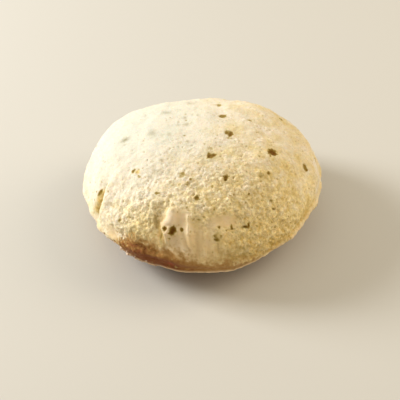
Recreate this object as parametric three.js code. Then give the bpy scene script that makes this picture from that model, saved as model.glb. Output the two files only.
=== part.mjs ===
// A puffed chapati: one thin round of wheat dough that has swelled on the heat into a closed pillow.
// Units are millimetres and +Z is up. The bread lies on the plane z = 0, and the middle of its box
// stands over the origin. -Y is the front, where the deep folds are.
//
// Places on the skin are given as a bearing and a climb, both in degrees, from the bread's heart at
// seam height: a bearing runs anticlockwise from +X as seen from above, and a climb is 0 at the seam,
// 90 at the crown and -90 under the bread.

import * as THREE from 'three';
import { ImprovedNoise } from 'three/addons/math/ImprovedNoise.js';
import { mergeVertices } from 'three/addons/utils/BufferGeometryUtils.js';

// Driving dimensions
const WIDTH = 174; // left to right, before the skin's unevenness
const DEPTH = 169; // front to back
const HEIGHT = 78; // table to crown
const SEAM_HEIGHT = 24.5; // table to the seam where the top skin meets the underside

// Form of the pillow
const TOP_FULLNESS = 2.18; // superellipse exponent: 2 is an ellipse, more is fuller
const UNDERSIDE_FULLNESS = 1.76;
const UNDERSIDE_SWING = 0.3; // the underside is this much fuller at its full bearing, leaner opposite
const FULL_BEARING = 227;
const FOOT_SINK = 4; // how far the underside would hang below the table, which presses it flat
const LOBE_SHARE = 0.035; // the outline is a soft three-cornered round, with one corner to the front
const SKEW_SHARE = 0.013; // and it is drawn out a little towards the back right and the front left
const SEAM_TILT = 0.9; // the seam climbs by this much towards its high bearing
const SEAM_HIGH_BEARING = 210;

// Seam
const LIP_PROUD = 1.7; // the pinched edge of the dough stands this far out of the pillow
const LIP_HALF_HEIGHT = 3.2;
const LIP_WAVES = 9; // stretches round the bread over which the lip comes and goes
const LIP_WAVE_SHARE = 0.45;
const LIP_RIDE = 4.5; // at the front left the lip rides up the side, and shows the underside below it
const LIP_RIDE_BEARING = 254;
const LIP_RIDE_SPREAD = 24; // degrees to either side of that bearing

// Unevenness of the skin: wavelength and height of each layer of it
const SWELLS = { wavelength: 62, height: 2.2, seed: 11.3 };
const DIMPLES = { wavelength: 27, height: 1.1, seed: 47.9 };
const BLISTERS = { wavelength: 15, height: 0.75, seed: 83.1 };

// Broad bulges of the pillow, each a flat where rise is negative
const BULGES = [
  { name: 'right front flat', at: [333, -2], radius: 32, rise: -3.1 },
  { name: 'right flat', at: [8, 2], radius: 20, rise: -1 },
  { name: 'left flat', at: [194, 3], radius: 17, rise: -3.7 },
  { name: 'back left flat', at: [160, 12], radius: 16, rise: -2 },
  { name: 'back left bulge', at: [140, 23], radius: 20, rise: 1.2 },
  { name: 'back flat', at: [98, 33], radius: 38, rise: -1.5 },
  { name: 'front left flat', at: [252, -7], radius: 22, rise: -1.3 },
  { name: 'front belly', at: [279, -5], radius: 15, rise: 1.8 },
  { name: 'front flat', at: [298, -4], radius: 15, rise: -1.6 },
];

// Folds of the skin, each a ridge where rise is positive and a valley where it is negative. A path's
// rise changes from its start to its end by the factor in swell.
const FOLDS = [
  {
    name: 'side pleat',
    path: [[202, 24], [205, 16], [206, 8], [206, 1]],
    rise: -2.3,
    swell: 1.5,
    halfWidth: 4,
  },
  {
    name: 'side pleat edge',
    path: [[207, 24], [211, 15], [212, 6]],
    rise: 1.2,
    swell: 1.2,
    halfWidth: 4,
  },
  { name: 'side lobe', path: [[192, 17], [194, 9]], rise: 1.3, swell: 1, halfWidth: 11 },
  {
    name: 'front gather',
    path: [[253.5, 26], [250.5, 20], [252, 11]],
    rise: 2.4,
    swell: 0.6,
    halfWidth: 3.6,
  },
  {
    name: 'front gather hollow',
    path: [[248, 26], [245.5, 19], [247, 11]],
    rise: -1.9,
    swell: 0.8,
    halfWidth: 4.2,
  },
  { name: 'scorched pocket', path: [[255.5, 18], [258, 15]], rise: -1.3, swell: 1, halfWidth: 4.5 },
  { name: 'front pinch', path: [[262.5, 26], [263, 17]], rise: 1, swell: 0.6, halfWidth: 3.2 },
  { name: 'front strap', path: [[279, 16], [277.5, 6]], rise: 1.2, swell: 1.2, halfWidth: 3.8 },
  {
    name: 'front tuck',
    path: [[244, 0], [256, -2], [268, -3], [280, -2]],
    rise: -1.5,
    swell: 1,
    halfWidth: 3.6,
  },
  {
    name: 'left shoulder crease',
    path: [[224, 3], [233, 5], [243, 5]],
    rise: -1.3,
    swell: 1,
    halfWidth: 3.4,
  },
  { name: 'back crease', path: [[96, 8], [101, 20], [99, 31]], rise: -1.6, swell: 0.5, halfWidth: 4.5 },
  { name: 'right crease', path: [[28, 5], [24, 16]], rise: -1.2, swell: 0.5, halfWidth: 4 },
];

// Patches where the blisters stand more or less proud than elsewhere
const PATCHES = [
  { name: 'crusty shoulder', at: [231, 14], radius: 34, share: 2.1 },
  { name: 'stretched panel', at: [266, 9], radius: 17, share: -0.85 },
  { name: 'pimpled right front', at: [303, 14], radius: 36, share: 0.7 },
  { name: 'smooth left crown', at: [165, 48], radius: 48, share: -0.7 },
];

// Net of faces, which starts from a box blown up to a ball, whose middle row becomes the seam
const BOX_CUTS = 30; // faces along each edge of the box, an even number so that a row lies on the seam
const SEAM_CROWDING = 0.25; // rows draw together at the seam
const FRONT_CROWDING = 0.35; // columns draw together at the folds
const FOLDED_BEARING = 238;
const TOP_SQUEEZE = 0.8; // flattens the ball's directions, so that the faces come out alike
const UNDERSIDE_SQUEEZE = 0.5;

const RADIANS = Math.PI / 180;
const noise = new ImprovedNoise();

// The plan's radius at a bearing, in radians: an ellipse drawn out at three corners.
function outlineRadius(bearing) {
  const ellipse = 1 / Math.hypot(Math.cos(bearing) / (WIDTH / 2), Math.sin(bearing) / (DEPTH / 2));
  return ellipse * (1 + LOBE_SHARE * Math.sin(3 * bearing) + SKEW_SHARE * Math.sin(2 * bearing));
}

// The point of the smooth pillow in a direction, in radians. The heart is at (0, 0, SEAM_HEIGHT).
function pillowPoint(bearing, climb) {
  const top = climb >= 0;
  const fullness = top
    ? TOP_FULLNESS
    : UNDERSIDE_FULLNESS + UNDERSIDE_SWING * Math.cos(bearing - FULL_BEARING * RADIANS);
  const reach = top ? HEIGHT - SEAM_HEIGHT : SEAM_HEIGHT + FOOT_SINK;
  const flat = Math.cos(climb) / outlineRadius(bearing);
  const steep = Math.abs(Math.sin(climb)) / reach;
  const radius = (flat ** fullness + steep ** fullness) ** (-1 / fullness);
  const tilt = SEAM_TILT * Math.cos(bearing - SEAM_HIGH_BEARING * RADIANS) * Math.cos(climb) ** 2;
  return new THREE.Vector3(
    radius * Math.cos(climb) * Math.cos(bearing),
    radius * Math.cos(climb) * Math.sin(bearing),
    SEAM_HEIGHT + radius * Math.sin(climb) + tilt,
  );
}

const placeOnSkin = ([bearing, climb]) => pillowPoint(bearing * RADIANS, climb * RADIANS);
const bell = (distance, halfWidth) => Math.exp(-((distance / halfWidth) ** 2));

function layerOfNoise(point, { wavelength, height, seed }) {
  const k = 2 / wavelength;
  return height * noise.noise(point.x * k + seed, point.y * k - seed, point.z * k + seed);
}

const folds = FOLDS.map((fold) => ({ ...fold, stations: fold.path.map(placeOnSkin) }));
const patches = PATCHES.map((patch) => ({ ...patch, centre: placeOnSkin(patch.at) }));
const bulges = BULGES.map((bulge) => ({ ...bulge, centre: placeOnSkin(bulge.at) }));

// How far one fold lifts the skin at a point, from the nearest place on the fold's path.
function foldRise(point, { stations, rise, swell, halfWidth }) {
  const stretch = new THREE.Line3();
  const foot = new THREE.Vector3();
  let nearest = Infinity;
  let along = 0;
  for (let i = 0; i < stations.length - 1; i++) {
    stretch.set(stations[i], stations[i + 1]);
    const share = stretch.closestPointToPointParameter(point, true);
    const distance = stretch.at(share, foot).distanceTo(point);
    if (distance < nearest) {
      nearest = distance;
      along = (i + share) / (stations.length - 1);
    }
  }
  return rise * (1 + (swell - 1) * along) * bell(nearest, halfWidth);
}

// How high above the plane z = 0 the seam runs at a bearing, in radians.
function lipHeight(bearing) {
  const tilt = SEAM_TILT * Math.cos(bearing - SEAM_HIGH_BEARING * RADIANS);
  const fromRide = bearing - LIP_RIDE_BEARING * RADIANS;
  const turn = Math.atan2(Math.sin(fromRide), Math.cos(fromRide));
  return SEAM_HEIGHT + tilt + LIP_RIDE * bell(turn, LIP_RIDE_SPREAD * RADIANS);
}

function lipRise(point) {
  const bearing = Math.atan2(point.y, point.x);
  const around = LIP_WAVES / 2;
  const wave = noise.noise(around * Math.cos(bearing), around * Math.sin(bearing), 0.5);
  return LIP_PROUD * (1 + LIP_WAVE_SHARE * wave) * bell(point.z - lipHeight(bearing), LIP_HALF_HEIGHT);
}

// How far the skin stands out from the smooth pillow at a point of it.
function relief(point) {
  const blistered = patches.reduce(
    (sum, { centre, radius, share }) => sum + share * bell(point.distanceTo(centre), radius),
    1,
  );
  return (
    layerOfNoise(point, SWELLS) +
    layerOfNoise(point, DIMPLES) +
    layerOfNoise(point, BLISTERS) * Math.max(0, blistered) +
    lipRise(point) +
    bulges.reduce((sum, { centre, radius, rise }) => sum + rise * bell(point.distanceTo(centre), radius), 0) +
    folds.reduce((sum, fold) => sum + foldRise(point, fold), 0)
  );
}

// The bearing and climb, in radians, for a point on the starting box, which reaches 1 each way.
function netDirection(boxPoint) {
  const evenAngles = (share) => Math.tan((share * Math.PI) / 4);
  const [x, y, z] = boxPoint.toArray().map(evenAngles);
  const column = Math.atan2(y, x);
  const row = Math.atan2(z, Math.hypot(x, y));
  const crowded = row - (SEAM_CROWDING / 2) * Math.sin(2 * row);
  const squeeze = z >= 0 ? TOP_SQUEEZE : UNDERSIDE_SQUEEZE;
  return {
    bearing: column - FRONT_CROWDING * Math.sin(column - FOLDED_BEARING * RADIANS),
    climb: Math.atan2(squeeze * Math.sin(crowded), Math.cos(crowded)),
  };
}

function chapatiGeometry() {
  const box = new THREE.BoxGeometry(2, 2, 2, BOX_CUTS, BOX_CUTS, BOX_CUTS);
  box.deleteAttribute('normal');
  box.deleteAttribute('uv');
  const skin = mergeVertices(box);
  const position = skin.attributes.position;
  const point = new THREE.Vector3();

  for (let i = 0; i < position.count; i++) {
    point.fromBufferAttribute(position, i);
    const { bearing, climb } = netDirection(point);
    position.setXYZ(i, ...pillowPoint(bearing, climb));
  }
  skin.computeVertexNormals();

  const outward = new THREE.Vector3();
  for (let i = 0; i < position.count; i++) {
    point.fromBufferAttribute(position, i);
    outward.fromBufferAttribute(skin.attributes.normal, i);
    point.addScaledVector(outward, relief(point));
    position.setXYZ(i, point.x, point.y, Math.max(0, point.z)); // the table presses the foot flat
  }

  skin.computeBoundingBox();
  const middle = skin.boundingBox.getCenter(new THREE.Vector3());
  skin.translate(-middle.x, -middle.y, 0);
  skin.computeVertexNormals();
  return skin;
}

const dough = new THREE.MeshStandardMaterial({ color: 0xe9d6ab, roughness: 0.85, metalness: 0 });
const chapati = new THREE.Mesh(chapatiGeometry(), dough);
chapati.name = 'chapati';

const model = new THREE.Group();
model.add(chapati);

export default model;
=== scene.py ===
"""A puffed chapati on a plain pale floor: its fine skin with scorch marks and folds, the crumbs at its
front edge, the lights and the camera.

Places on the bread are given as a bearing and a climb in degrees, from the bread's heart at seam
height: a bearing runs anticlockwise from +X as seen from above, so the front is 270, and a climb is 0
at the seam, 90 at the crown and -90 under the bread. Relief is worked out in millimetres.
"""

import math
from collections import namedtuple

import bmesh
import bpy
import numpy as np
from bpy.props import FloatProperty, FloatVectorProperty, IntProperty, PointerProperty
from mathutils import Euler, Matrix, Vector, noise
from mathutils.bvhtree import BVHTree
from mathutils.kdtree import KDTree


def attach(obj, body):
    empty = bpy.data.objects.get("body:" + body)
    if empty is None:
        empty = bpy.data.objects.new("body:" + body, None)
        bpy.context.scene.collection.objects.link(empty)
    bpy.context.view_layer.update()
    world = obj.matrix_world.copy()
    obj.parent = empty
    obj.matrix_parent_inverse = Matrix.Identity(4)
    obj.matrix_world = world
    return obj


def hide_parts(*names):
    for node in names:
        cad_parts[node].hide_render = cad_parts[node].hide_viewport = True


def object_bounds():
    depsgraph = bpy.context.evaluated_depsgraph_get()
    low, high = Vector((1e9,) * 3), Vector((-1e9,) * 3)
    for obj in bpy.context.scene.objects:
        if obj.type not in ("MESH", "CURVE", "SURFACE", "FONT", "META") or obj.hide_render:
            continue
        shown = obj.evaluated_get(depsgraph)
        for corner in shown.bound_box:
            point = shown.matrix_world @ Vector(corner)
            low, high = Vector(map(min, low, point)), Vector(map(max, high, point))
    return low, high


bl_info = {
    "name": "Puffed Chapati",
    "version": (1, 0, 0),
    "blender": (4, 5, 0),
    "location": "View3D > Sidebar > Chapati",
    "description": "Builds a puffed wheat flatbread with a blistered and scorched skin",
    "category": "Add Mesh",
}

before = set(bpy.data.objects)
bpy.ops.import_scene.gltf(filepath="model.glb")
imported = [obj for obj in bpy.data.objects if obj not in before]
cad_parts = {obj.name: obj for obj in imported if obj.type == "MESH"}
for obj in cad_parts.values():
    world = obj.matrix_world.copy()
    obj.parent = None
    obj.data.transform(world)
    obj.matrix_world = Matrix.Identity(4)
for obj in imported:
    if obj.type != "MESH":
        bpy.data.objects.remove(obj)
CAD_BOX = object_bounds()

MM = 0.001
BREAD = "chapati"
SKIN = "puffed_skin"
HEART = Vector((-0.4, 3.04, 24.5))  # millimetres; a little behind the middle, as the front bulges
BOX_MARGIN = 1.2  # bumps nearer than this to the solid's box are flattened, so that none leaves it

# How the seam runs round the bread, in millimetres above the table and degrees
SEAM_HEIGHT = 24.5
SEAM_TILT = 0.9
SEAM_HIGH_BEARING = 210
SEAM_RIDE = 4.5
SEAM_RIDE_BEARING = 254
SEAM_RIDE_SPREAD = 24
# How high the thin rim of the dough runs, in millimetres above the table, at these bearings
RIM_HEIGHTS = (
    (200, 25), (216, 24.5), (225, 19), (233, 18), (242, 15.7), (254, 17.5), (266, 16.3), (278, 18),
    (290, 19), (297, 22), (314, 23), (326, 24.6), (336, 25.8), (352, 25.8), (360, 25),
)
# How high the browned crust reaches, in millimetres above the table, at these bearings; its brown is partly
# painted shade where the skin turns down and away from the lamps
CRUST_TOPS = (
    (200, 16), (216, 17.5), (223, 21), (225, 24), (229, 29.5), (232.5, 35), (236, 37.2), (240, 36.5),
    (244, 36), (247, 35.5), (249.5, 33.3), (252.5, 35), (256, 34.7), (260, 33.3), (264, 31.3),
    (267, 29.8), (271, 28.8), (277, 29), (281, 31.5), (286, 30.5), (291, 28), (300, 24.5), (320, 22),
)

# A region is round a place, and fades out over about its radius in millimetres.
Region = namedtuple("Region", "bearing climb radius")
CRUSTY_SHOULDER = Region(231, 14, 33)
STRETCHED_PANEL = Region(268, 11, 15)
SMOOTH_FLAP = Region(258, 22, 6.5)
SMOOTH_STRIP = Region(257.5, 9.5, 8)
SMOOTH_FOLD = Region(251.5, 21, 6)
PINCHED_CORNER = Region(222, 3.5, 4.5)
# Painted shade: these places darken the skin to olive where it lies in shade, in the hollow below the gather, in
# the valley beside it and low on the front-left shoulder, which is also a little toasted; the hollow is also
# left smoother
SHADED_HOLLOW = Region(248.5, 13, 7.5)
OLIVE_SHADE_PLACES = (Region(235.3, 9.5, 6), Region(245.3, 20.8, 2.8), Region(246.8, 17.4, 2.6))
PANEL_FOCUS = (270.7, -10)  # the bearing and climb that the streaks of the panel run down to
PIMPLED_FRONT = Region(303, 14, 42)
GRAINY_MIDDLE = Region(262, 38, 34)
FLOURY_CROWN = Region(160, 45, 62)
# A paler, smoother patch on the left lobe, with less flour and toast: painted light
PALE_LIT_PATCH = Region(211.5, 23.5, 13)
# Toasted, partly the dough's own toasting and partly a painted warm reflection
TOASTED_FRONT_WITH_WARM_REFLECTION = Region(282, 8, 32)
TOASTED_EDGE = Region(316, 5, 26)
# Paler at the right edge: painted light where it is lit from the right
PALE_LIT_EDGE = Region(352, 11, 15)
# Ochre spots, toasted and without flour; the three at bearing 205 are partly painted shade in the valley of the
# side pleat
OCHRE_SPOTS = (
    Region(300.7, 3.9, 5.5),
    Region(292.6, 3.5, 6.5),
    Region(284.5, 4.9, 4.0),
    Region(217.8, 36.6, 2.0),
    Region(205.0, 15.4, 3.0),
    Region(205.2, 11.2, 3.2),
    Region(205.0, 5.7, 3.2),
)
RED_SPOT = Region(255, -1, 2.2)
RAGGED_CORNER = Region(230, 3.5, 9)
SMOOTH_SCARS = (Region(277.3, 22, 3.6), Region(281, 21.8, 3.6), Region(285, 21.4, 3.6))

# A wide patch of the skin, and how much lighter and how much more toasted it is than round it
Blotch = namedtuple("Blotch", "bearing climb radius lighter toasted")
# The lightness and toasting of these patches is partly painted light and painted shade, where the skin turns
# towards or away from the lamps, and partly the skin's own uneven tone
BLOTCHES = (
    Blotch(239, 15, 14, 0, 0.3),
    Blotch(222, 32, 18, 0, -0.12),
    Blotch(241, 32.5, 12, 0.07, -0.02),
    Blotch(231, 19.3, 7, 0.23, -0.08),
    Blotch(239, 19, 6, 0.07, 0),
    Blotch(242.5, 38.5, 7, 0.1, -0.06),
    Blotch(234.8, 9.6, 5, -0.2, 0),
    Blotch(226.3, 4.6, 3.5, -0.16, 0),
    Blotch(253.3, 23.5, 3.5, 0.03, -0.35),
    Blotch(250.8, 19.8, 3, 0.03, -0.35),
    Blotch(263.6, 49.7, 7, 0.08, 0),
    Blotch(293.6, 47.7, 7, 0.14, 0),
    Blotch(283.9, 25.8, 7, 0.11, -0.05),
    Blotch(299.5, 14.2, 7, 0.15, 0),
    Blotch(343.5, 13, 9, 0.13, 0.04),
    Blotch(338.7, 3.7, 9, -0.04, 0.4),
    Blotch(309.5, 6, 8, 0.09, 0.28),
    Blotch(282.6, 60.2, 6, -0.16, 0.25),
    Blotch(274.7, 20.2, 6, -0.18, 0.05),
    Blotch(275.8, 33.2, 7, 0.07, 0.16),
    Blotch(314.5, 21, 7, 0.09, 0.03),
    Blotch(319, 41, 6, 0.1, 0),
    Blotch(316, 37, 3.5, -0.1, 0.3),
    Blotch(206.3, 5, 6, -0.2, 0.1),
    Blotch(279, 50, 7, -0.1, 0.08),
    Blotch(266.2, 26.6, 6, -0.02, 0.12),
    Blotch(259.1, 13.2, 6, -0.19, 0.05),
    Blotch(252.2, 12.5, 5, -0.13, 0.05),
    Blotch(267.3, 13, 5, 0.07, 0),
    Blotch(281.2, 7.6, 6, -0.2, 0),
    Blotch(289, 6.4, 6, -0.18, 0.08),
    Blotch(298, 1.5, 7, -0.16, 0),
    Blotch(251.6, 74.3, 6, -0.08, 0.05),
    Blotch(11.5, 70.5, 7, 0.07, 0),
    Blotch(283, 13.2, 5.5, 0.18, 0),
)

# A mark where the skin touched the hot iron: its size in millimetres across and up the skin, how far
# it leans to the left in degrees, and how dark it is, from 0 to 1.
Mark = namedtuple("Mark", "bearing climb wide tall lean dark")
MARKS = (
    Mark(350.5, 68.7, 5.5, 3.1, 1, 0.95),
    Mark(352.4, 71.6, 4.2, 3.1, -16, 0.72),
    Mark(337.3, 67.9, 3.0, 5.5, 22, 0.28),
    Mark(278.4, 60.8, 2.7, 4.8, -10, 0.90),
    Mark(285.2, 60.6, 3.4, 2.4, 25, 0.90),
    Mark(280.9, 59.9, 3.2, 3.8, -14, 0.80),
    Mark(284.2, 67.3, 3.6, 3.0, 6, 0.30),
    Mark(342.3, 40.6, 7.8, 5.2, -18, 1.00),
    Mark(341.4, 42.4, 4.2, 2.6, -12, 0.80),
    Mark(5.9, 13.4, 4.2, 3.0, 0, 0.66),
    Mark(30.7, 29.1, 4.2, 3.6, 0, 0.62),
    Mark(27.5, 51.6, 3.4, 3.6, 29, 0.36),
    Mark(336.8, 41.2, 3.5, 1.1, 9, 0.42),
    Mark(289.0, 43.2, 4.8, 3.3, 38, 0.76),
    Mark(316.0, 37.0, 5.2, 4.2, 2, 0.28),
    Mark(322.4, 35.6, 3.1, 2.0, 3, 0.75),
    Mark(350.8, 21.0, 3.6, 5.6, -42, 0.60),
    Mark(350.2, 19.5, 2.7, 2.2, -22, 0.80),
    Mark(54.8, 63.6, 4.1, 5.4, -13, 0.62),
    Mark(72.9, 49.1, 3.1, 5.8, 19, 0.50),
    Mark(214.3, 35.6, 3.0, 3.2, 25, 0.70),
    Mark(221.3, 35.1, 3.0, 1.9, 9, 0.52),
    Mark(217.0, 38.0, 1.9, 1.3, 12, 0.42),
    Mark(219.1, 39.7, 2.0, 1.3, 14, 0.40),
    Mark(252.3, 45.1, 5.6, 4.6, -10, 0.42),
    Mark(252.3, 45.6, 3.0, 1.8, -10, 0.42),
    Mark(260.2, 43.1, 1.9, 1.7, -3, 0.50),
    Mark(258.9, 40.4, 3.4, 3.6, 31, 0.34),
    Mark(252.7, 39.3, 2.6, 2.2, 0, 0.30),
    Mark(277.0, 39.0, 2.8, 2.6, 0, 0.30),
    Mark(276.7, 45.0, 4.8, 2.4, 0, 0.26),
    Mark(240.9, 32.0, 3.4, 1.6, 22, 0.50),
    Mark(266.2, 33.0, 3.3, 2.8, -1, 0.72),
    Mark(261.2, 28.4, 2.2, 1.4, 2, 0.40),
    Mark(276.4, 27.5, 1.5, 2.3, -8, 0.40),
    Mark(268.1, 23.1, 3.0, 1.5, -1, 0.40),
    Mark(255.3, 17.3, 4.1, 5.8, -13, 1.00),
    Mark(254.5, 16.2, 3.1, 2.0, 7, 0.85),
    Mark(251.4, 17.8, 2.3, 2.8, 10, 0.95),
    Mark(225.3, 12.3, 2.6, 1.6, 30, 0.48),
    Mark(246.9, 13.4, 2.6, 1.4, 22, 0.42),
    Mark(249.9, 14.0, 1.9, 13.0, 14, 0.45),
    Mark(264.0, 17.8, 1.4, 1.9, 5, 0.42),
    Mark(259.7, 18.2, 2.2, 2.7, 4, 0.75),
    Mark(254.3, 13.8, 1.6, 1.8, -2, 0.50),
    Mark(293.2, 17.8, 2.0, 3.7, -26, 0.85),
    Mark(291.5, 17.5, 2.7, 1.8, -16, 0.75),
    Mark(284.5, 18.7, 1.8, 3.3, -11, 0.72),
    Mark(278.2, 19.5, 1.9, 1.7, 1, 0.65),
    Mark(281.4, 17.7, 1.8, 1.6, -10, 0.45),
    Mark(276.5, 14.5, 3.6, 2.8, -15, 0.64),
    Mark(276.7, 15.7, 6.6, 6.8, -11, 0.26),
    Mark(275.7, 15.8, 1.6, 2.3, -6, 0.60),
    Mark(278.5, 15.8, 1.9, 3.2, -5, 0.42),
    Mark(297.5, 15.8, 2.4, 1.8, -28, 0.42),
    Mark(302.1, 15.4, 2.6, 1.7, -28, 0.42),
    Mark(308.1, 13.3, 2.8, 1.8, -33, 0.42),
    Mark(311.2, 19.4, 2.5, 1.9, -25, 0.60),
    Mark(311.7, 23.8, 4.5, 2.1, -22, 0.40),
    Mark(299.8, 31.1, 2.2, 1.7, 44, 0.55),
    Mark(202.6, 14.3, 1.9, 6.2, -12, 0.78),
)

# Faint grey shades of the same kind on the floury crown, and holes torn in the front edge
SMUDGES = (
    Mark(180.5, 38.8, 4.1, 5.2, 30, 0.95),
    Mark(185.9, 38.5, 2.7, 3.4, -27, 0.4),
    Mark(181.8, 54.8, 9.0, 4.8, 8, 0.55),
    Mark(187.7, 60.5, 4.4, 2.2, 0, 0.4),
    Mark(190.2, 65.2, 6.2, 3.0, -4, 0.55),
    Mark(197.1, 34.3, 12.2, 6.7, 27, 0.2),
    Mark(124.7, 66.1, 2.9, 6.3, -31, 0.6),
    Mark(109.6, 65.8, 2.2, 4.9, -15, 0.4),
    Mark(100.4, 69.3, 2.5, 4.8, -5, 0.6),
    Mark(132.4, 51.1, 6.0, 5.0, -41, 0.5),
    Mark(154.6, 69.3, 3.7, 2.7, 33, 0.45),
    Mark(145.8, 74.8, 3.9, 4.7, -14, 0.6),
    Mark(230.8, 72.0, 3.8, 2.8, -45, 0.7),
    Mark(239.2, 68.3, 2.8, 2.0, 20, 0.45),
    Mark(246.6, 74.6, 2.1, 3.3, 28, 0.45),
    Mark(248.0, 64.6, 3.1, 2.7, -39, 0.4),
    Mark(227.2, 49.4, 4.1, 3.1, -21, 0.85),
    Mark(215.5, 48.8, 4.6, 3.2, 17, 0.35),
    Mark(242.3, 62.0, 2.0, 2.9, 37, 0.4),
    Mark(257.3, 59.9, 2.8, 2.3, 1, 0.5),
    Mark(103.2, 45.4, 3.3, 6.4, -13, 0.4),
    Mark(144.9, 40.9, 4.9, 2.0, 44, 0.35),
    Mark(203.9, 19.9, 1.5, 8.6, -8, 0.5),
    Mark(240.2, 45.5, 4.2, 3, 10, 0.35),
    Mark(229.2, 41.9, 4.4, 3.5, -23, 0.55),
)
# Painted shade: the torn holes are dented and filled with the darkest crust colour, standing in for the shadow
# under the torn edge
TORN_HOLES = (
    Mark(228.7, 0.9, 1.9, 8.6, 30, 1),
    Mark(224.6, 0.3, 2.2, 2.0, 0, 1),
    Mark(226.5, -3.5, 2.2, 2.0, 0, 1),
    Mark(232.8, -3.0, 3.0, 2.4, -20, 1),
)

# A fold's path down the skin, its height in millimetres (below 0 for a valley), the half width of its
# crest, and how far it dies away on the side towards higher bearings, or above a level fold.
Fold = namedtuple("Fold", "path height half_width lap")
FOLDS = (
    Fold(((203.5, 22), (205.3, 17), (206.2, 12), (206.3, 7), (206, 1)), -1.2, 2.6, 1.0),
    Fold(((210.2, 18.2), (211.2, 15.4), (210.4, 11), (209.6, 5)), 0.7, 1.0, 5.0),
    Fold(((252.5, 27.6), (253.2, 26.1), (253.8, 23.9), (253.8, 21.6), (252.4, 19.3)), 1.5, 2.9, 2.6),
    Fold(((249.7, 27.5), (248.7, 24.8), (249.3, 22.4), (247.7, 19.5), (247.5, 16.5), (249.4, 14.8), (251.5, 12.8)), -1.1, 1.9, 1.9),
    Fold(((248.9, 18.3), (250.9, 16.6), (252.4, 14.8), (253, 13), (253.3, 10.4)), 1.4, 0.8, 1.1),
    Fold(((253.3, 19.3), (252.9, 17.3), (252.2, 15.0)), 1.4, 0.7, 0.9),
    Fold(((249.1, 16.6), (250, 15.2), (251, 12.8)), -0.9, 0.9, 0.7),
    Fold(((262.1, 26), (262.4, 22.4), (263, 18.5), (263.4, 16)), 1.4, 0.9, 0.9),
    Fold(((283, 16.5), (280.2, 11.6), (277.9, 5.5)), 0.55, 1.1, 2.0),
    Fold(((276.9, 13.5), (276.9, 9.7), (277.2, 5.6)), -0.45, 0.8, 0.8),
    Fold(((253.5, 10), (255.4, 8.3), (258.9, 5), (263.9, 3.1), (271, 2.1), (278.5, -1)), 0.75, 0.9, 2.8),
    Fold(((241, 3), (243.7, 3.2), (249.2, 3.5), (255.9, 5.2)), 0.6, 0.8, 1.2),
    Fold(((233.4, 2.9), (238.4, 4.5), (243.7, 4.1)), 0.5, 0.7, 1.0),
    Fold(((239.5, -5), (247.1, -3.5), (254, -3.4), (262, -4)), 0.45, 0.7, 0.9),
    Fold(((236, -1.5), (243, 0.4), (250, 0.2), (258, 1)), -0.5, 1.0, 1.0),
    Fold(((268.8, 17.2), (270.7, 10), (271.7, 6.2)), 0.8, 0.9, 0.9),
    Fold(((271.5, 14.5), (272.2, 11.2)), -0.5, 0.9, 0.9),
    Fold(((264.3, 11.3), (264.4, 6)), -0.5, 1.1, 1.1),
    Fold(((275.5, 12.6), (275.3, 6.3)), 0.9, 1.3, 1.3),
    Fold(((292.3, 10.6), (292.8, 6.5), (293, 3)), 0.6, 1.1, 1.1),
    Fold(((274, -2.8), (280, -2.4), (288, -1.4)), 0.5, 1.2, 1.2),
    Fold(((202, 12), (202.6, 4)), 0.35, 0.7, 0.7),
    Fold(((199.5, 14), (200.5, 4)), 0.3, 0.8, 0.8),
    Fold(((196, 11), (197.5, 2)), 0.25, 0.8, 0.8),
)

# The net of the fine skin
NET_CUTS = 127
NET_FLATNESS = 0.75
NET_SHIFT = Vector((-0.05, -0.22, 0.12))  # crowds the net towards the crown and the folded front
NET_SMOOTHING_PASSES = 3

# The pale flakes at the torn edge, each with its bearing, its height above the table and its radius in
# millimetres, and the smaller crumbs scattered about them
FLAKES = ((222.5, 22.5, 1.3), (227, 19.2, 1.9), (230.5, 18, 1.8), (235.5, 16.4, 1.4))
CRUMBS = 30
CRUMB_BEARING = 231
CRUMB_SPREAD = 7


def linear(hex_code):
    """The linear colour and an alpha of 1 for an sRGB hex code."""
    shares = [int(hex_code[i : i + 2], 16) / 255 for i in (0, 2, 4)]
    return (*[s / 12.92 if s <= 0.04045 else ((s + 0.055) / 1.055) ** 2.4 for s in shares], 1.0)


def bell(distance, half_width):
    """1 at a distance of 0, falling smoothly to nothing past about two half widths."""
    return np.exp(-((distance / half_width) ** 2))


def smooth_step(low, high, value):
    """0 below low, 1 above high and smooth between them."""
    share = np.clip((value - low) / (high - low), 0.0, 1.0)
    return share * share * (3 - 2 * share)


def turn_between(bearings, bearing):
    """How many degrees bearings lie past a bearing, from -180 to 180."""
    return (bearings - bearing + 180) % 360 - 180


def direction(bearing, climb):
    """The way from the heart at a bearing and a climb."""
    around, up = math.radians(bearing), math.radians(climb)
    return Vector((math.cos(up) * math.cos(around), math.cos(up) * math.sin(around), math.sin(up)))


def new_object(name, mesh):
    """An object for the mesh, at the origin."""
    made = bpy.data.objects.new(name, mesh)
    bpy.context.scene.collection.objects.link(made)
    return made


def smoothed_form():
    """A tree to cast rays at: the solid's surface with its facets smoothed away."""
    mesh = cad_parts[BREAD].data.copy()
    shell = bmesh.new()
    shell.from_mesh(mesh)
    bmesh.ops.remove_doubles(shell, verts=shell.verts, dist=0.01 * MM)
    shell.to_mesh(mesh)
    shell.free()
    cage = new_object("form_cage", mesh)
    rounding = cage.modifiers.new("Rounding", "SUBSURF")
    rounding.levels = 2
    rounding.render_levels = 2
    form = BVHTree.FromObject(cage, bpy.context.evaluated_depsgraph_get())
    bpy.data.objects.remove(cage)
    return form


def cast(form, way):
    """The point of the form, in metres, that is seen from the heart along a way."""
    return form.ray_cast(HEART * MM, way.normalized())[0]


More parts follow.
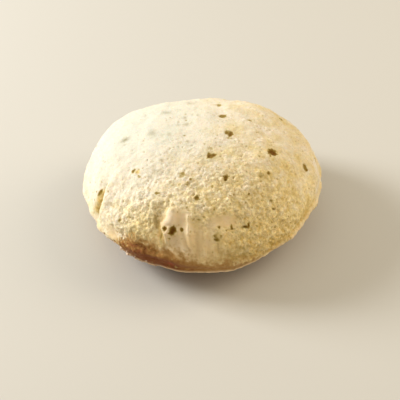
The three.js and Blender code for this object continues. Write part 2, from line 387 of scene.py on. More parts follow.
def fine_net(form):
    """A box cut into even squares, blown up to a ball and cast out from the heart onto the form."""
    net = bmesh.new()
    bmesh.ops.create_cube(net, size=2)
    bmesh.ops.subdivide_edges(net, edges=net.edges, cuts=NET_CUTS, use_grid_fill=True)
    for vert in net.verts:
        ball = Vector([math.tan(share * math.pi / 4) for share in vert.co]).normalized()
        ball.z *= NET_FLATNESS
        vert.co = cast(form, ball + NET_SHIFT)
    for _ in range(NET_SMOOTHING_PASSES):
        bmesh.ops.smooth_vert(
            net, verts=net.verts, factor=0.5, use_axis_x=True, use_axis_y=True, use_axis_z=True
        )
    bmesh.ops.recalc_face_normals(net, faces=net.faces)
    mesh = bpy.data.meshes.new(SKIN)
    net.to_mesh(mesh)
    net.free()
    return mesh


def keep_in_box(points):
    """The points, with those that would leave the solid's box pressed back inside it."""
    low, high = (np.array(corner) / MM for corner in CAD_BOX)
    middle, half = (low + high) / 2, (high - low) / 2
    off = points - middle
    beyond = np.abs(off) - (half - BOX_MARGIN)
    pressed = half - BOX_MARGIN * np.exp(-np.maximum(beyond, 0) / BOX_MARGIN)
    kept = middle + np.where(beyond > 0, np.sign(off) * pressed, off)
    kept[:, 2] = np.where(off[:, 2] < 0, np.maximum(points[:, 2], 0), kept[:, 2])  # flat on the table
    return kept


class Skin:
    """The fine skin while it is worked: points in millimetres, and numbers that belong to each."""

    def __init__(self, mesh, form, seed):
        self.mesh = mesh
        self.form = form
        self.dice = np.random.default_rng(seed)
        self.read_mesh()
        self.rise = np.zeros(len(self.points))
        self.fine_rise = np.zeros(len(self.points))
        self.scorch = np.zeros(len(self.points))
        self.smudge = np.zeros(len(self.points))
        self.torn = np.zeros(len(self.points))
        self.crease = np.zeros(len(self.points))

    def read_mesh(self):
        """Takes the points, normals, bearings and climbs from the mesh."""
        count = len(self.mesh.vertices)
        flat = np.empty(count * 3, np.float32)
        self.mesh.vertices.foreach_get("co", flat)
        self.points = flat.reshape(-1, 3).astype(float) / MM
        self.mesh.vertex_normals.foreach_get("vector", flat)
        self.normals = flat.reshape(-1, 3).astype(float)
        out = self.points - np.array(HEART)
        self.bearings = np.degrees(np.arctan2(out[:, 1], out[:, 0])) % 360
        self.climbs = np.degrees(np.arctan2(out[:, 2], np.hypot(out[:, 0], out[:, 1])))
        self.above_seam = self.points[:, 2] - seam_height(self.bearings)
        self.above_rim = self.points[:, 2] - rim_height(self.bearings)
        self.tree = KDTree(count)
        for i, point in enumerate(self.points):
            self.tree.insert(point, i)
        self.tree.balance()

    def place(self, bearing, climb):
        """The point of the smooth form at a bearing and a climb, in millimetres."""
        return np.array(cast(self.form, direction(bearing, climb))) / MM

    def inside(self, region):
        """How far each point is inside a region: 1 in its middle and 0 well outside."""
        centre = self.place(region.bearing, region.climb)
        return bell(np.linalg.norm(self.points - centre, axis=1), region.radius)

    def noise(self, size, seed, octaves=1):
        """Smooth noise from about -1 to 1 at each point, with lumps of this size in millimetres."""
        offset = Vector((seed * 7.3, -seed * 3.1, seed * 5.7))
        return np.array([noise.fractal(Vector(p) / size + offset, 1.0, 2.0, octaves) for p in self.points])

    def near(self, centre, radius):
        """The numbers of the points within a radius of a centre, and their distances."""
        found = self.tree.find_range(centre, radius)
        return np.array([f[1] for f in found], int), np.array([f[2] for f in found])

    def beside(self, path):
        """Each point's distance from a path, signed positive towards higher bearings, and its share
        of the way along the path."""
        stations = [self.place(*station) for station in path]
        best = np.full(len(self.points), np.inf)
        signed = np.zeros(len(self.points))
        along = np.zeros(len(self.points))
        for i, (start, end) in enumerate(zip(stations, stations[1:])):
            stretch = end - start
            share = np.clip((self.points - start) @ stretch / (stretch @ stretch), 0, 1)
            off = self.points - start - share[:, None] * stretch
            distance = np.linalg.norm(off, axis=1)
            side = np.sign(np.einsum("ij,ij->i", np.cross(self.normals, stretch), off))
            nearer = distance < best
            best = np.where(nearer, distance, best)
            signed = np.where(nearer, distance * side, signed)
            along = np.where(nearer, (i + share) / (len(stations) - 1), along)
        return signed, along

    def settle(self):
        """Moves the points out by their rise, keeps them on the table and in the box, and reads the
        normals again."""
        self.points = keep_in_box(self.points + self.normals * self.rise[:, None])
        self.mesh.vertices.foreach_set("co", (self.points * MM).astype(np.float32).ravel())
        self.mesh.update()
        self.read_mesh()
        self.rise = np.zeros(len(self.points))

    def write_layer(self, name, values):
        """Keeps a number for each point in the mesh, for the materials to read."""
        layer = self.mesh.attributes.new(name, "FLOAT", "POINT")
        layer.data.foreach_set("value", np.asarray(values, np.float32))


def seam_height(bearings):
    """How high the seam runs at each bearing, in millimetres above the table."""
    tilt = SEAM_TILT * np.cos(np.radians(bearings - SEAM_HIGH_BEARING))
    return SEAM_HEIGHT + tilt + SEAM_RIDE * bell(turn_between(bearings, SEAM_RIDE_BEARING), SEAM_RIDE_SPREAD)


def rim_height(bearings):
    """How high the thin rim of the dough runs at each bearing, in millimetres above the table."""
    return np.interp(bearings, *zip(*RIM_HEIGHTS))


def streaks(values, climbs, width):
    """Noise drawn out down the skin, with streaks this wide in the units of the values across."""
    pairs = zip(values / width, climbs / 16)
    return np.array([noise.noise(Vector((across, down, 3.7))) for across, down in pairs])


def raise_folds(skin):
    """Crisp folds, and the soft streaks of the stretched panel and the puckers by the seam."""
    for fold in FOLDS:
        signed, along = skin.beside(fold.path)
        ends = smooth_step(0.0, 0.15, along) * smooth_step(0.0, 0.15, 1 - along)
        width = np.where(signed > 0, fold.lap, fold.half_width)
        skin.crease += fold.height * ends * bell(signed, width)

    focus_bearing, focus_climb = PANEL_FOCUS
    around = turn_between(skin.bearings, focus_bearing)
    fan = np.degrees(np.arctan2(around, np.maximum(skin.climbs - focus_climb, 1)))
    skirt = smooth_step(1, 4, skin.climbs)
    skin.crease += 1.4 * streaks(fan, skin.climbs, 4.5) * skin.inside(STRETCHED_PANEL) * skirt
    skin.crease += 0.1 * streaks(skin.bearings, skin.climbs, 1.8) * bell(skin.climbs - 4, 6) * skirt
    skin.rise += skin.crease


def raise_lip(skin):
    """The thin rim of the dough, with a shallow groove above it, torn ragged at the front left, and
    the weaker fold of the seam."""
    height = skin.above_rim + 0.5 * skin.noise(14, 5.1)
    sharpness = 0.25 + 0.75 * bell(turn_between(skin.bearings, 285), 62)
    torn = bell(turn_between(skin.bearings, 231), 12) * np.maximum(0, skin.noise(2.4, 6.3))
    skin.rim = sharpness * bell(height, 1.0)
    skin.groove = sharpness * bell(height - 3.2, 1.6)
    skin.rise += 0.8 * skin.rim - 0.5 * skin.groove
    skin.rise += 0.25 * bell(skin.above_seam, 1.2) - 0.25 * bell(skin.above_seam - 2.6, 1.4)
    skin.rise -= 1.7 * torn * bell(height, 2.4)


def mark_spread(skin, mark):
    """The numbers of the points near a mark, and how far out each lies, 1 at the mark's edge."""
    centre = skin.place(mark.bearing, mark.climb)
    outward = (centre - np.array(HEART)) / np.linalg.norm(centre - np.array(HEART))
    level = np.cross((0, 0, 1), outward)
    level /= np.linalg.norm(level)
    upward = np.cross(outward, level)
    lean = math.radians(mark.lean)
    right = level * math.cos(lean) + upward * math.sin(lean)
    up = upward * math.cos(lean) - level * math.sin(lean)
    near, _ = skin.near(centre, 1.6 * max(mark.wide, mark.tall))
    off = skin.points[near] - centre
    return near, np.hypot(off @ right / (mark.wide / 2), off @ up / (mark.tall / 2))


def raise_marks(skin):
    """Scorch marks, each a shallow dent with a puffed rim and a ragged edge, torn holes, which are
    deeper and later darkened inside as painted shade, and faint smudges."""
    raggedness = 0.34 * skin.noise(1.7, 9.4, 2)
    for mark in MARKS:
        near, spread = mark_spread(skin, mark)
        skin.rise[near] += mark.dark * (0.28 * bell(spread - 1.4, 0.4) - 0.45 * bell(spread, 0.8))
        ragged = spread * (1 + raggedness[near])
        browned = mark.dark * np.maximum(smooth_step(1.6, 0.45, ragged), 0.2 * bell(ragged, 1.7))
        skin.scorch[near] = np.maximum(skin.scorch[near], browned)
    for hole in TORN_HOLES:
        near, spread = mark_spread(skin, hole)
        skin.rise[near] -= 1.3 * bell(spread, 0.9)
        skin.torn[near] = np.maximum(skin.torn[near], bell(spread * (1 + raggedness[near]), 1.0))
    for smudge in SMUDGES:
        near, spread = mark_spread(skin, smudge)
        shade = smudge.dark * bell(spread * (1 + raggedness[near]), 0.9)
        skin.smudge[near] = np.maximum(skin.smudge[near], shade)


def scatter(skin, count, likelihood):
    """The numbers of points picked at random, more of them where the likelihood is higher."""
    return skin.dice.choice(len(skin.points), count, replace=False, p=likelihood / likelihood.sum())


def raise_pimples(skin, area, roughness):
    """Small round blisters, crowded and tall on the crusty shoulder and low elsewhere."""
    for i in scatter(skin, 7500, area * (0.05 + roughness) ** 1.3):
        radius = skin.dice.uniform(0.9, 2.2)
        height = radius * skin.dice.uniform(0.12, 0.32) * (0.3 + 0.9 * roughness[i])
        near, distance = skin.near(skin.points[i], radius)
        skin.fine_rise[near] += height * (1 - (distance / radius) ** 2) ** 2


def press_pits(skin, area, roughness):
    """Pin holes and small dents where steam broke through, each with a low rim and a little browned
    inside."""
    for i in scatter(skin, 1400, area * (0.12 + roughness)):
        radius = skin.dice.uniform(0.7, 1.4)
        depth = radius * skin.dice.uniform(0.15, 0.4)
        near, distance = skin.near(skin.points[i], 2 * radius)
        share = distance / radius
        well = np.clip(1 - share**2, 0, 1) ** 2
        skin.fine_rise[near] += depth * (0.45 * bell(share - 1.25, 0.4) - well)
        skin.scorch[near] = np.maximum(skin.scorch[near], well * skin.dice.uniform(0.05, 0.4))


def scatter_specks(skin, area, toasted):
    """Faint specks all round, and scorch marks on the back and the underside, which the front lacks."""
    for i in scatter(skin, 220, area * (0.25 + toasted)):
        radius = skin.dice.uniform(0.7, 1.4)
        near, distance = skin.near(skin.points[i], radius)
        dark = skin.dice.uniform(0.15, 0.42)
        skin.scorch[near] = np.maximum(skin.scorch[near], dark * (1 - (distance / radius) ** 2))

    towards_front = np.array(direction(270, 39))
    facing_back = smooth_step(-0.08, -0.3, skin.normals @ towards_front)
    raggedness = 0.3 * skin.noise(1.9, 3.3, 2)
    for i in scatter(skin, 52, area * facing_back):
        radius = skin.dice.uniform(1.2, 3.2)
        near, distance = skin.near(skin.points[i], 1.7 * radius)
        share = distance / radius * (1 + raggedness[near])
        dark = skin.dice.uniform(0.4, 0.95)
        skin.scorch[near] = np.maximum(skin.scorch[near], dark * smooth_step(1.4, 0.6, share))
        skin.fine_rise[near] += dark * (0.2 * bell(share - 1.3, 0.4) - 0.35 * bell(share, 0.8))


def point_areas(mesh, count):
    """The area of skin round each point, in square millimetres."""
    areas = np.zeros(count)
    for face in mesh.polygons:
        areas[list(face.vertices)] += face.area / 4
    return areas / MM**2


def work_skin(mesh, form, settings):
    """Raises every fold, blister and dent on the net, and keeps what the material needs to know."""
    skin = Skin(mesh, form, settings.seed)
    skin.rise += 0.42 * skin.noise(9.5, 1.3, 1)
    skin.rise += 0.4 * smooth_step(-10, 40, skin.points[:, 1]) * skin.noise(6.5, 8.1)
    raise_folds(skin)
    raise_lip(skin)
    raise_marks(skin)
    skin.settle()

    ochre = sum(skin.inside(spot) for spot in OCHRE_SPOTS)
    patch = skin.inside(PALE_LIT_PATCH)
    shaded = skin.inside(SHADED_HOLLOW)
    floury = np.clip(skin.inside(FLOURY_CROWN) * (1 - 0.7 * patch) - 0.8 * ochre, 0, 1)
    shoulder = skin.inside(CRUSTY_SHOULDER)
    smooth_places = (
        STRETCHED_PANEL, SMOOTH_FLAP, SMOOTH_STRIP, SMOOTH_FOLD, PINCHED_CORNER, *SMOOTH_SCARS,
    )
    stretched = np.clip(1.2 * sum(skin.inside(place) for place in smooth_places), 0, 1)
    below = smooth_step(0.5, -1.5, skin.above_seam)
    pimpled = skin.inside(PIMPLED_FRONT)
    roughness = 0.22 + 0.85 * shoulder + 0.85 * pimpled + 0.4 * skin.inside(GRAINY_MIDDLE)
    roughness *= (1 - 0.9 * stretched) * (1 - 0.75 * floury) * (1 - 0.6 * below)
    roughness *= (1 - 0.5 * patch) * (1 - 0.8 * shaded)
    roughness = np.clip(roughness, 0.04, 1.2)
    area = point_areas(mesh, len(skin.points)) * (skin.points[:, 2] > 0.2)

    # The front and lower right are toasted darker and more yellow, partly the dough's own toasting and partly a
    # painted warm reflection on the side away from the key lamp
    toasted = 0.3 + 0.26 * skin.inside(TOASTED_FRONT_WITH_WARM_REFLECTION) + 0.2 * skin.inside(TOASTED_EDGE)
    right_front = bell(turn_between(skin.bearings, 300), 50)
    # Painted shade: the groove above the rim at the right front is darkened towards toast
    toasted += 0.16 * skin.noise(17, 2.9, 2) + 0.45 * skin.groove * right_front - 0.42 * floury
    toasted += (0.08 + 0.25 * pimpled) * skin.noise(6, 4.9, 2) + 0.2 * pimpled
    # Paler at the right edge and on the left lobe's patch: painted light
    toasted -= 0.2 * skin.inside(PALE_LIT_EDGE) + 0.3 * patch
    # The blotches: partly painted light and painted shade, partly the skin's own tone
    toasted += sum(blotch.toasted * skin.inside(blotch) for blotch in BLOTCHES)
    lighter = sum(blotch.lighter * skin.inside(blotch) for blotch in BLOTCHES)
    toasted = np.clip(toasted + 0.05 * shoulder + 0.5 * ochre, 0, 1)

    # The browned crust: partly the toasted crust of the edge and underside, partly painted shade low on the
    # front left, under the seam and in the shaded hollow
    crust_top = np.interp(skin.bearings, *zip(*CRUST_TOPS))
    crust_top += 1.5 * (1 - 0.7 * stretched) * skin.noise(5, 2.2, 2)
    depth = crust_top - skin.points[:, 2]
    strength = 0.42 + 0.58 * bell(turn_between(skin.bearings, 244), 22) + 0.08 * skin.noise(9, 7.7, 2)
    browned = strength * np.interp(depth, (-11, -4, 0, 3, 9), (0, 0.18, 0.44, 0.74, 1.05))
    browned = np.maximum(browned, 0.2 * shaded)
    browned += 0.12 * bell(turn_between(skin.bearings, 268), 14) * bell(skin.climbs - 0.8, 2.4)
    browned *= 1 + 0.24 * skin.noise(2.2, 5.8, 2) + 0.9 * skin.inside(RAGGED_CORNER) * skin.noise(1.7, 4.4, 2)
    # Painted shade in the torn holes
    browned = np.maximum(browned, 1.1 * skin.torn)

    raise_pimples(skin, area, roughness)
    press_pits(skin, area, roughness * (1 - 0.6 * floury) + 0.6 * pimpled)
    scatter_specks(skin, area, toasted)
    skin.fine_rise += (0.14 + 0.28 * roughness) * (1 - 0.8 * stretched) * skin.noise(3.4, 4.2, 2)
    skin.fine_rise += 0.12 * shoulder * skin.noise(5.0, 6.6, 1)
    skin.fine_rise += (0.03 + 0.11 * roughness) * skin.noise(1.6, 8.8, 1)
    skin.rise += skin.fine_rise * settings.relief * (skin.points[:, 2] > 0.2)
    skin.settle()

    skin.write_layer("scorch", np.clip(skin.scorch, 0, 1))
    skin.write_layer("smudge", np.clip(skin.smudge, 0, 1))
    skin.write_layer("toasted", toasted)
    skin.write_layer("relief", skin.fine_rise + 0.45 * skin.crease)
    skin.write_layer("floury", np.clip(floury, 0, 1))
    skin.write_layer("browned", np.clip(browned * (1 - 0.6 * skin.rim), 0, 1))
    skin.write_layer("grainy", np.clip(roughness, 0, 1))
    skin.write_layer("rim", np.clip(skin.rim, 0, 1))
    skin.write_layer("stretched", stretched)
    skin.write_layer("reddened", skin.inside(RED_SPOT))
    # The shaded layer is painted shade, for the material to darken the skin by
    olive_shade = sum(skin.inside(place) for place in OLIVE_SHADE_PLACES)
    skin.write_layer("shaded", np.clip(0.7 * shaded + olive_shade, 0, 1))
    skin.write_layer("lighter", lighter)


def pattern_scale(size):
    """The Scale setting for a texture whose features are this many millimetres."""
    return 1 / (size * MM)


def add_node(tree, kind, inputs=None, **settings):
    """A node with its settings, and its inputs given as values or as the sockets they are linked to."""
    node = tree.nodes.new(kind)
    for name, value in settings.items():
        setattr(node, name, value)
    for key, value in (inputs or {}).items():
        if isinstance(value, bpy.types.NodeSocket):
            tree.links.new(value, node.inputs[key])
        else:
            node.inputs[key].default_value = value
    return node


def new_material(name):
    """An empty node material and the tree of its nodes."""
    material = bpy.data.materials.new(name)
    material.use_nodes = True
    material.node_tree.nodes.clear()
    return material, material.node_tree


MIX_A, MIX_B, MIX_COLOUR = 6, 7, 2  # the colour sockets of a Mix node


def blend_colours(tree, factor, first, second, blend_type="MIX"):
    """The colour socket of a mix from the first colour to the second by a factor."""
    inputs = {0: factor, MIX_A: first, MIX_B: second}
    mix = add_node(tree, "ShaderNodeMix", inputs, data_type="RGBA", blend_type=blend_type)
    return mix.outputs[MIX_COLOUR]


def spread(tree, value, low, high, to_low=0.0, to_high=1.0):
    """A smooth rise from to_low to to_high as the value goes from low to high."""
    inputs = {0: value, 1: low, 2: high, 3: to_low, 4: to_high}
    return add_node(tree, "ShaderNodeMapRange", inputs, interpolation_type="SMOOTHSTEP").outputs[0]


def add(tree, *numbers):
    """The sum of numbers or sockets."""
    total = numbers[0]
    for number in numbers[1:]:
        total = add_node(tree, "ShaderNodeMath", {0: total, 1: number}, operation="ADD").outputs[0]
    return total


def multiply(tree, *numbers):
    """The product of numbers or sockets."""
    product = numbers[0]
    for number in numbers[1:]:
        product = add_node(tree, "ShaderNodeMath", {0: product, 1: number}, operation="MULTIPLY").outputs[0]
    return product


def ramp(tree, value, *stops):
    """The colour socket of a ramp through stops, each a position and a colour."""
    node = add_node(tree, "ShaderNodeValToRGB", {0: value})
    elements = node.color_ramp.elements
    elements[0].position, elements[1].position = stops[0][0], stops[-1][0]
    for position, _ in stops[1:-1]:
        elements.new(position)
    for element, (_, colour) in zip(elements, stops):
        element.color = colour
    return node.outputs[0]


def baked_dough(settings):
    """Wheat dough baked dry on hot iron: matt and slightly see-through, pale where flour still lies on
    it, tan where it has toasted, and dark brown in the blots where it touched the iron."""
    material, tree = new_material("baked_wheat_dough")
    place = add_node(tree, "ShaderNodeTexCoord").outputs["Object"]
    layers = {
        name: add_node(tree, "ShaderNodeAttribute", attribute_name=name).outputs["Fac"]
        for name in (
            "scorch", "smudge", "toasted", "relief", "floury", "browned", "grainy", "rim", "stretched",
            "reddened", "shaded", "lighter",
        )
    }

    def texture(size, detail=2.0, roughness=0.5):
        inputs = {"Vector": place, "Scale": pattern_scale(size), "Detail": detail, "Roughness": roughness}
        return add_node(tree, "ShaderNodeTexNoise", inputs).outputs[0]

    def cells(size, feature, **inputs):
        inputs.update(Vector=place, Scale=pattern_scale(size))
        return add_node(tree, "ShaderNodeTexVoronoi", inputs, feature=feature).outputs

    clouds = texture(9.0, 2.0, 0.5)  # slow changes in how well the dough has toasted
    mottle = texture(2.8, 2.0, 0.6)  # the blotches that show from a step away
    grain = texture(0.75, 2.0, 0.6)  # flour grit, drawn about three times as coarse as it is
    beads = cells(2.5, "SMOOTH_F1", Smoothness=0.5)["Distance"]  # tiny domes raised by the gas
    flecks = cells(1.5, "F1")

    swing = add(tree, texture(3.2, 1.0), -0.5)
    curls = spread(tree, multiply(tree, swing, swing), 0.004, 0.0)  # thin ridges that wind about
    dome = spread(tree, beads, 0.4, 0.12)
    gap = spread(tree, beads, 0.38, 0.6)
    # Where the relief stands up; below, the crests are made paler as painted highlight
    crest = spread(tree, layers["relief"], 0.1, 0.5)
    smooth = spread(tree, layers["stretched"], 0, 1, 1, 0.3)  # grit shows less where the dough stretched
    browning = add(
        tree,
        layers["toasted"],
        spread(tree, clouds, 0.3, 0.7, -0.14, 0.14),
        spread(tree, mottle, 0.35, 0.65, -0.02, 0.02),
        multiply(tree, crest, -0.06),
    )
    colour = ramp(
        tree,
        browning,
        (0.05, settings.pale_colour),
        (0.5, settings.dough_colour),
        (0.95, settings.toast_colour),
    )

    # Painted shade: darker and olive in the dips of the relief, in the gaps between the blisters and in the
    # shaded places
    hollow_shade = add(
        tree,
        multiply(tree, spread(tree, layers["relief"], 0.0, -0.35), 0.5),
        multiply(tree, gap, layers["grainy"], spread(tree, mottle, 0.4, 0.6, 0.1, 0.7)),
        multiply(tree, layers["shaded"], 0.85),
    )
    colour = blend_colours(tree, hollow_shade, colour, settings.hollow_shade_colour)
    # Lighter on the crests, blisters and winding ridges as painted highlight; the mottle and clouds are the
    # dough's own uneven tone, and the blotches add their lightness
    shade = add(
        tree,
        0.99,
        multiply(tree, crest, 0.06),
        multiply(tree, add(tree, dome, curls), layers["grainy"], 0.05),
        multiply(tree, spread(tree, mottle, 0.35, 0.65, -0.17, 0.17), layers["grainy"]),
        spread(tree, clouds, 0.35, 0.65, 0.03, -0.03),
        layers["lighter"],
    )
    colour = blend_colours(tree, 1.0, colour, shade, "MULTIPLY")
    # Painted highlight: the tops of the crests and blisters are blended towards a paler colour, less in the
    # shaded places
    crest_highlight = add(tree, crest, multiply(tree, add(tree, dome, curls), layers["grainy"]))
    crest_highlight = multiply(tree, crest_highlight, spread(tree, layers["shaded"], 0, 1, 0.16, 0.04))
    colour = blend_colours(tree, crest_highlight, colour, settings.crest_highlight_colour)

    dusting = multiply(tree, layers["floury"], spread(tree, clouds, 0.4, 0.6, 0.55, 0.85))
    colour = blend_colours(tree, dusting, colour, settings.flour_colour)
    grit = spread(tree, grain, 0.3, 0.7, 0.88, 1.08)
    colour = blend_colours(tree, multiply(tree, smooth, 0.85), colour, grit, "MULTIPLY")

    fleck_size = spread(tree, flecks["Distance"], 0.24, 0.12)
    few = spread(tree, flecks["Color"], 0.74, 0.78)
    colour = blend_colours(tree, multiply(tree, fleck_size, few, 0.45), colour, settings.bran_colour)

    colour = blend_colours(tree, multiply(tree, layers["stretched"], 0.55), colour, settings.stretched_colour)
    colour = blend_colours(tree, layers["smudge"], colour, settings.smudge_colour, "MULTIPLY")

    # The crust's brown, partly painted shade on the underside and low front left
    crust = add(
        tree,
        layers["browned"],
        spread(tree, mottle, 0.3, 0.7, -0.09, 0.09),
        multiply(tree, crest, -0.09),
    )
    crust_colour = ramp(
        tree,
        crust,
        (0.25, settings.light_crust_colour),
        (0.6, settings.crust_colour),
        (0.95, settings.dark_crust_colour),
    )
    colour = blend_colours(tree, spread(tree, crust, 0.03, 0.36), colour, crust_colour)
    colour = blend_colours(tree, multiply(tree, layers["reddened"], 0.5), colour, settings.red_colour)
    # The thin rim is its own pale dough with a painted highlight along it, bright though it faces down
    colour = blend_colours(tree, multiply(tree, layers["rim"], 0.85), colour, settings.rim_dough_and_highlight_colour)

    ragged = add(
        tree,
        layers["scorch"],
        spread(tree, grain, 0.25, 0.75, -0.08, 0.08),
        spread(tree, mottle, 0.3, 0.7, -0.08, 0.08),
    )
    burn = ramp(
        tree,
        ragged,
        (0.25, settings.halo_colour),
        (0.6, settings.scorch_colour),
        (1.0, settings.char_colour),
    )
    burn = blend_colours(tree, multiply(tree, layers["floury"], 0.65), burn, settings.dusted_burn_colour)
    burnt = multiply(tree, spread(tree, ragged, 0.06, 0.45), spread(tree, layers["scorch"], 0.02, 0.14))
    colour = blend_colours(tree, burnt, colour, burn)

    bulges = multiply(tree, add(tree, dome, multiply(tree, curls, 1.4)), layers["grainy"], 1.3)
    height = add(tree, multiply(tree, grain, 0.6), multiply(tree, mottle, 1.6), bulges)
    bump = add_node(
        tree, "ShaderNodeBump", {"Height": multiply(tree, height, smooth), "Strength": 0.6, "Distance": 0.3 * MM}
    ).outputs[0]
    shader = add_node(tree, "ShaderNodeBsdfPrincipled", {
        "Base Color": colour,
        "Roughness": spread(tree, layers["scorch"], 0.2, 0.9, 0.86, 0.75),
        "Normal": bump,
        "IOR": 1.45,
        "Specular IOR Level": spread(tree, layers["scorch"], 0.2, 0.9, 0.35, 0.12),
        "Subsurface Weight": 0.12,
        "Subsurface Radius": (1.0, 0.55, 0.28),
        "Subsurface Scale": 2.0 * MM,
        "Sheen Weight": spread(tree, layers["scorch"], 0.2, 0.9, 0.03, 0),
        "Sheen Roughness": 0.5,
    })
    add_node(tree, "ShaderNodeOutputMaterial", {"Surface": shader.outputs[0]})
    return material


def torn_crumb(settings):
    """Dry crumbs torn from the toasted edge: matt, some pale as the dough and some brown."""
    material, tree = new_material("torn_toasted_crumb")
    tone = add_node(tree, "ShaderNodeAttribute", attribute_name="tone").outputs["Fac"]
    colour = blend_colours(tree, tone, settings.pale_crumb_colour, settings.brown_crumb_colour)
    shader = add_node(tree, "ShaderNodeBsdfPrincipled", {
        "Base Color": colour,
        "Roughness": 0.9,
        "IOR": 1.45,
        "Specular IOR Level": 0.3,
    })
    add_node(tree, "ShaderNodeOutputMaterial", {"Surface": shader.outputs[0]})
    return material


def plain_floor_paint(settings):
    """Matt pale studio paper: smooth, and without any gloss of its own."""
    material, tree = new_material("matt_studio_paper")
    shader = add_node(tree, "ShaderNodeBsdfPrincipled", {
        "Base Color": settings.floor_colour,
        "Roughness": 0.9,
        "Specular IOR Level": 0.2,
    })
    add_node(tree, "ShaderNodeOutputMaterial", {"Surface": shader.outputs[0]})
    return material


def colour_setting(name, hex_code, description):
    """A colour in the panel, that starts as an sRGB hex code."""
    return FloatVectorProperty(
        name=name, description=description, subtype="COLOR", size=4, default=linear(hex_code)
    )


class ChapatiSkinSettings(bpy.types.PropertyGroup):
    """Sizes and colours of the bread's skin."""

    seed: IntProperty(name="Seed", description="Draws another scatter of blisters", default=41, min=0)
    relief: FloatProperty(
        name="Relief", description="Height of the fine blisters and pits", default=1.0, min=0, max=2,
        subtype="FACTOR",
    )
    flour_colour: colour_setting("Flour", "DADDD2", "Where dry flour still lies on the skin")
    pale_colour: colour_setting("Pale dough", "F0E4D0", "Baked but hardly toasted")
    dough_colour: colour_setting("Dough", "EED697", "The usual colour of the skin")
    toast_colour: colour_setting("Toast", "D5B15A", "Where the skin has toasted evenly")
    # Painted highlight on top of the blisters
    crest_highlight_colour: colour_setting("Crests", "F6E8C4", "On top of the blisters")
    # Painted shade in the dips and gaps between the blisters
    hollow_shade_colour: colour_setting("Hollows", "AC8F44", "Between the blisters")
    stretched_colour: colour_setting("Stretched dough", "EBCDA2", "Where the dough stretched smooth")
    smudge_colour: colour_setting("Smudges", "B8B095", "Shades the pale crown where it was pressed")
    # The rim's own pale dough, with a painted highlight
    rim_dough_and_highlight_colour: colour_setting("Rim", "F3DAB6", "The thin rim of the dough")
    # The crust colours are partly painted shade on the underside and low front left
    light_crust_colour: colour_setting("Light crust", "B9935A", "Where the crust begins")
    crust_colour: colour_setting("Crust", "9E7138", "The browned edge and underside")
    dark_crust_colour: colour_setting("Dark crust", "7E471F", "The most browned of the crust")
    red_colour: colour_setting("Red spot", "B5583C", "A reddish spot in the crust")
    bran_colour: colour_setting("Bran", "8E6B38", "Flecks of bran in the flour")
    halo_colour: colour_setting("Halo", "C0A968", "The light brown edge of a scorch mark")
    scorch_colour: colour_setting("Scorch", "8E7128", "The brown of a scorch mark")
    char_colour: colour_setting("Char", "704408", "The darkest part of a scorch mark")
    dusted_burn_colour: colour_setting("Dusted scorch", "978C5C", "Scorch marks under flour")


class ChapatiCrumbSettings(bpy.types.PropertyGroup):
    """The crumbs at the front edge."""

    seed: IntProperty(name="Seed", description="Draws another scatter of crumbs", default=7, min=0)
    largest: FloatProperty(
        name="Largest crumb", description="Radius of the largest crumb", default=1.1 * MM, unit="LENGTH",
    )
    pale_crumb_colour: colour_setting("Pale crumbs", "F3DCC4", "The least toasted of the crumbs")
    brown_crumb_colour: colour_setting("Brown crumbs", "8A5530", "The most toasted of the crumbs")


class ChapatiStageSettings(bpy.types.PropertyGroup):
    """The camera, the lights and the floor."""

    camera_elevation: FloatProperty(
        name="Camera elevation", description="Above the table", default=math.radians(39), subtype="ANGLE",
        unit="ROTATION",
    )
    camera_distance: FloatProperty(
        name="Camera distance", description="From what it looks at", default=1.0, unit="LENGTH",
    )
    lens: FloatProperty(
        name="Lens", description="Focal length in millimetres on a 36 mm sensor", default=121.9,
    )
    floor_size: FloatProperty(
        name="Floor", description="Side of the floor", default=12.0, unit="LENGTH",
    )
    floor_colour: colour_setting("Floor colour", "D0CEC9", "Pale and plain")


class CHAPATI_OT_skin(bpy.types.Operator):
    """Build the puffed skin with its folds, blisters and scorch marks"""

    bl_idname = "chapati.skin"
    bl_label = "Puffed skin"

    def execute(self, context):
        settings = context.scene.chapati_skin
        form = smoothed_form()
        mesh = fine_net(form)
        work_skin(mesh, form, settings)
        mesh.polygons.foreach_set("use_smooth", [True] * len(mesh.polygons))
        mesh.materials.append(baked_dough(settings))
        skin = new_object(SKIN, mesh)
        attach(skin, "root")
        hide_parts(BREAD)
        return {"FINISHED"}


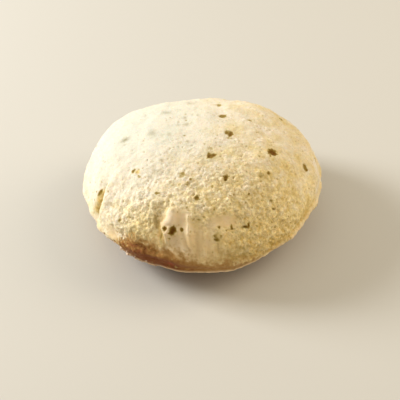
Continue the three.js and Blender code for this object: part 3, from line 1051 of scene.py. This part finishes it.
class CHAPATI_OT_crumbs(bpy.types.Operator):
    """Build the torn crumbs and flakes that cling to the front edge"""

    bl_idname = "chapati.crumbs"
    bl_label = "Crumbs"

    def execute(self, context):
        settings = context.scene.chapati_crumbs
        dice = np.random.default_rng(settings.seed)
        surface = BVHTree.FromObject(bpy.data.objects[SKIN], context.evaluated_depsgraph_get())
        net = bmesh.new()
        tone = net.verts.layers.float.new("tone")
        crumbs = [(bearing, height, radius * MM, 0.0) for bearing, height, radius in FLAKES]
        for _ in range(CRUMBS):
            bearing = dice.normal(CRUMB_BEARING, CRUMB_SPREAD)
            height = rim_height(bearing) + dice.uniform(-1.5, 2.5)
            crumbs.append((bearing, height, settings.largest * dice.uniform(0.35, 1.0), dice.uniform(0, 1)))
        for bearing, height, radius, brownness in crumbs:
            out = direction(bearing, 0) * 80
            centre = cast(surface, Vector((out.x, out.y, height - HEART.z)))
            thinness = dice.uniform(0.35, 0.8)
            turn = Euler(dice.uniform(0, math.pi, 3)).to_matrix().to_4x4()
            shape = Matrix.Translation(centre) @ turn @ Matrix.Diagonal((1, 0.75, thinness, 1))
            crumb = bmesh.ops.create_icosphere(net, subdivisions=2, radius=radius, matrix=shape)
            for vert in crumb["verts"]:
                lump = noise.noise(vert.co / (1.1 * MM))
                vert.co += (vert.co - centre) * 0.5 * lump
                vert[tone] = brownness
        mesh = bpy.data.meshes.new("edge_crumbs")
        net.to_mesh(mesh)
        net.free()
        mesh.materials.append(torn_crumb(settings))
        heap = new_object("edge_crumbs", mesh)
        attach(heap, "root")
        return {"FINISHED"}


def add_area_light(name, bearing, climb, distance, size, power, hex_code):
    """A square soft light that shines at the bread's heart from a bearing and a climb."""
    light = bpy.data.lights.new(name, "AREA")
    light.size = size
    light.energy = power
    light.color = linear(hex_code)[:3]
    lamp = bpy.data.objects.new(name, light)
    bpy.context.scene.collection.objects.link(lamp)
    away = direction(bearing, climb)
    lamp.location = HEART * MM + away * distance
    lamp.rotation_euler = away.to_track_quat("Z", "Y").to_euler()


class CHAPATI_OT_stage(bpy.types.Operator):
    """Set the floor, the studio lights and the camera"""

    bl_idname = "chapati.stage"
    bl_label = "Stage"

    def execute(self, context):
        settings = context.scene.chapati_stage
        sheet = bmesh.new()
        bmesh.ops.create_grid(sheet, x_segments=2, y_segments=2, size=settings.floor_size / 2)
        mesh = bpy.data.meshes.new("floor")
        sheet.to_mesh(mesh)
        sheet.free()
        mesh.materials.append(plain_floor_paint(settings))
        new_object("floor", mesh)

        add_area_light("key", 164.5, 28, 1.5, 0.6, 23.5, "FFFFFC")
        add_area_light("right_fill", 12, 38, 1.5, 1.0, 10, "FFF0D6")
        world = bpy.data.worlds.new("studio")
        world.use_nodes = True
        backdrop = world.node_tree.nodes["Background"]
        backdrop.inputs["Color"].default_value = linear("FFF3DC")
        backdrop.inputs["Strength"].default_value = 0.52
        context.scene.world = world
        context.scene.view_settings.view_transform = "Standard"

        lens = bpy.data.cameras.new("camera")
        lens.lens = settings.lens
        lens.sensor_width = 36
        camera = bpy.data.objects.new("camera", lens)
        context.scene.collection.objects.link(camera)
        aim = Vector((-2.28, 3.04, 13.4)) * MM
        back = direction(270, math.degrees(settings.camera_elevation))
        camera.location = aim + back * settings.camera_distance
        camera.rotation_euler = back.to_track_quat("Z", "Y").to_euler()
        context.scene.camera = camera
        return {"FINISHED"}


class CHAPATI_PT_panel(bpy.types.Panel):
    """Lists what builds the chapati and what can be changed."""

    bl_idname = "CHAPATI_PT_panel"
    bl_label = "Puffed Chapati"
    bl_space_type = "VIEW_3D"
    bl_region_type = "UI"
    bl_category = "Chapati"

    def draw(self, context):
        for settings, operator in (
            (context.scene.chapati_skin, CHAPATI_OT_skin),
            (context.scene.chapati_crumbs, CHAPATI_OT_crumbs),
            (context.scene.chapati_stage, CHAPATI_OT_stage),
        ):
            box = self.layout.box()
            for name in settings.bl_rna.properties.keys():
                if name not in {"rna_type", "name"}:
                    box.prop(settings, name)
            box.operator(operator.bl_idname)


CLASSES = (
    ChapatiSkinSettings,
    ChapatiCrumbSettings,
    ChapatiStageSettings,
    CHAPATI_OT_skin,
    CHAPATI_OT_crumbs,
    CHAPATI_OT_stage,
    CHAPATI_PT_panel,
)


def register():
    for made in CLASSES:
        bpy.utils.register_class(made)
    bpy.types.Scene.chapati_skin = PointerProperty(type=ChapatiSkinSettings)
    bpy.types.Scene.chapati_crumbs = PointerProperty(type=ChapatiCrumbSettings)
    bpy.types.Scene.chapati_stage = PointerProperty(type=ChapatiStageSettings)


def unregister():
    del bpy.types.Scene.chapati_stage
    del bpy.types.Scene.chapati_crumbs
    del bpy.types.Scene.chapati_skin
    for made in reversed(CLASSES):
        bpy.utils.unregister_class(made)


def main():
    register()
    bpy.ops.chapati.stage()
    bpy.ops.chapati.skin()
    bpy.ops.chapati.crumbs()


if __name__ == "__main__":
    main()
